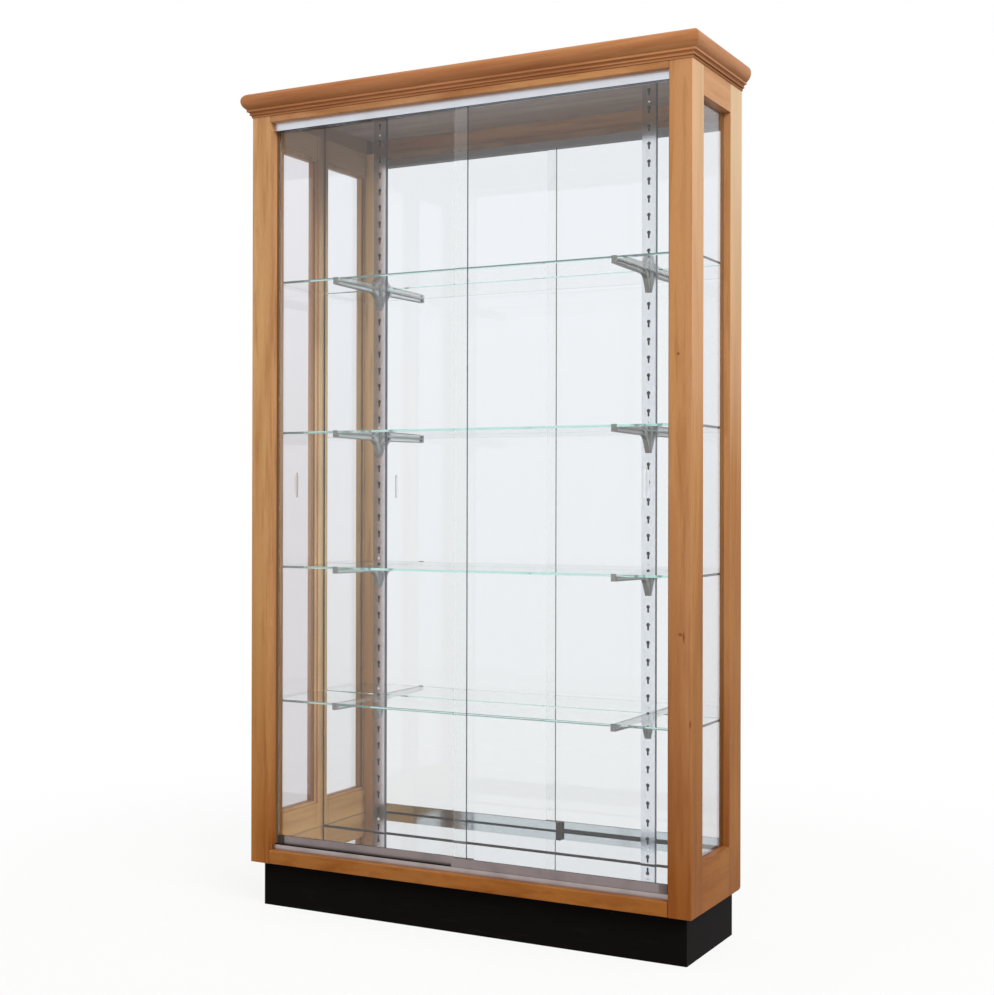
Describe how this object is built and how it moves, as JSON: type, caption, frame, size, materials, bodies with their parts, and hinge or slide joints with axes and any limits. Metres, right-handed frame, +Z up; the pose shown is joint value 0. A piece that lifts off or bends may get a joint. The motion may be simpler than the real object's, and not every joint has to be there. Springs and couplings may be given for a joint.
{
  "type": "display cabinet",
  "caption": "Tall free-standing display cabinet: wooden case with crown and toe box, glazed sides, mirror back, sliding glass doors and glass shelves on slotted standards.",
  "frame": {"origin": "on the floor, under the middle of the overall box, crown included", "axes": "+X to the right as seen from the front, +Y from the doors to the back, +Z up"},
  "size_m": [1.265, 0.357, 2.114],
  "materials": {
    "maple": "clear satin lacquer on a warm light hardwood",
    "black_board": "matt black laminate",
    "panel_board": "plain veneered board",
    "silver_mirror": "silvered glass",
    "clear_glass": "clear float glass with green edges",
    "satin_aluminium": "satin anodised extrusion",
    "black_nylon": "moulded nylon",
    "zinc_steel": "bright zinc plate",
    "die_cast": "grey die-cast, satin",
    "roller_steel": "turned steel"
  },
  "bodies": {
    "case": {"plinth_front": "black_board", "plinth_back": "black_board", "plinth_left": "black_board", "plinth_right": "black_board", "left_front_post": "maple", "right_front_post": "maple", "left_back_stile": "maple", "right_back_stile": "maple", "left_side_top_rail": "maple", "right_side_top_rail": "maple", "left_side_bottom_rail": "maple", "right_side_bottom_rail": "maple", "left_side_glass": "clear_glass", "right_side_glass": "clear_glass", "left_glazing_beads": "maple", "right_glazing_beads": "maple", "front_top_rail": "maple", "front_bottom_rail": "maple", "back_top_rail": "maple", "back_bottom_rail": "maple", "bottom_panel": "panel_board", "deck_panel": "panel_board", "deck_mirror": "silver_mirror", "back_panel": "panel_board", "back_mirror": "silver_mirror", "top_panel": "panel_board", "crown_front": "maple", "crown_left": "maple", "crown_right": "maple", "top_track": "satin_aluminium", "bottom_track": "satin_aluminium", "left_jamb_strip": "black_nylon", "right_jamb_strip": "black_nylon", "left_standard": "zinc_steel", "right_standard": "zinc_steel", "standard_screws": "zinc_steel", "bracket_1_left": "die_cast", "bracket_1_right": "die_cast", "bracket_2_left": "die_cast", "bracket_2_right": "die_cast", "bracket_3_left": "die_cast", "bracket_3_right": "die_cast", "bracket_4_left": "die_cast", "bracket_4_right": "die_cast", "shelf_1": "clear_glass", "shelf_2": "clear_glass", "shelf_3": "clear_glass", "shelf_4": "clear_glass"},
    "left_door": {"left_door_glass": "clear_glass", "left_door_shoe": "satin_aluminium", "left_door_end_blocks": "black_nylon", "left_door_roller_pins": "zinc_steel"},
    "right_door": {"right_door_glass": "clear_glass", "right_door_shoe": "satin_aluminium", "right_door_end_block": "black_nylon", "right_door_roller_pins": "zinc_steel"},
    "left_door_outer_roller": {"left_door_outer_roller": "roller_steel"},
    "left_door_inner_roller": {"left_door_inner_roller": "roller_steel"},
    "right_door_outer_roller": {"right_door_outer_roller": "roller_steel"},
    "right_door_inner_roller": {"right_door_inner_roller": "roller_steel"}
  },
  "joints": [
    {"name": "right_door_slide", "type": "slide", "parent": "case", "child": "right_door", "axis": [1, 0, 0], "range_m": [-0.53, 0]},
    {"name": "left_door_slide", "type": "slide", "parent": "case", "child": "left_door", "axis": [1, 0, 0], "range_m": [0, 0.515]},
    {"name": "left_door_outer_roller_turn", "type": "hinge", "parent": "left_door", "child": "left_door_outer_roller", "pos_m": [-0.4622, -0.1215, 0.1591], "axis": [0, 1, 0], "continuous": true},
    {"name": "left_door_inner_roller_turn", "type": "hinge", "parent": "left_door", "child": "left_door_inner_roller", "pos_m": [-0.0429, -0.1215, 0.1591], "axis": [0, 1, 0], "continuous": true},
    {"name": "right_door_outer_roller_turn", "type": "hinge", "parent": "right_door", "child": "right_door_outer_roller", "pos_m": [0.4622, -0.1335, 0.1591], "axis": [0, 1, 0], "continuous": true},
    {"name": "right_door_inner_roller_turn", "type": "hinge", "parent": "right_door", "child": "right_door_inner_roller", "pos_m": [0.0429, -0.1335, 0.1591], "axis": [0, 1, 0], "continuous": true}
  ],
  "couplings": [
    {"joint": "left_door_outer_roller_turn", "follows": "left_door_slide", "rad_per_m": 142.86},
    {"joint": "left_door_inner_roller_turn", "follows": "left_door_slide", "rad_per_m": 142.86},
    {"joint": "right_door_outer_roller_turn", "follows": "right_door_slide", "rad_per_m": 142.86},
    {"joint": "right_door_inner_roller_turn", "follows": "right_door_slide", "rad_per_m": 142.86}
  ]
}
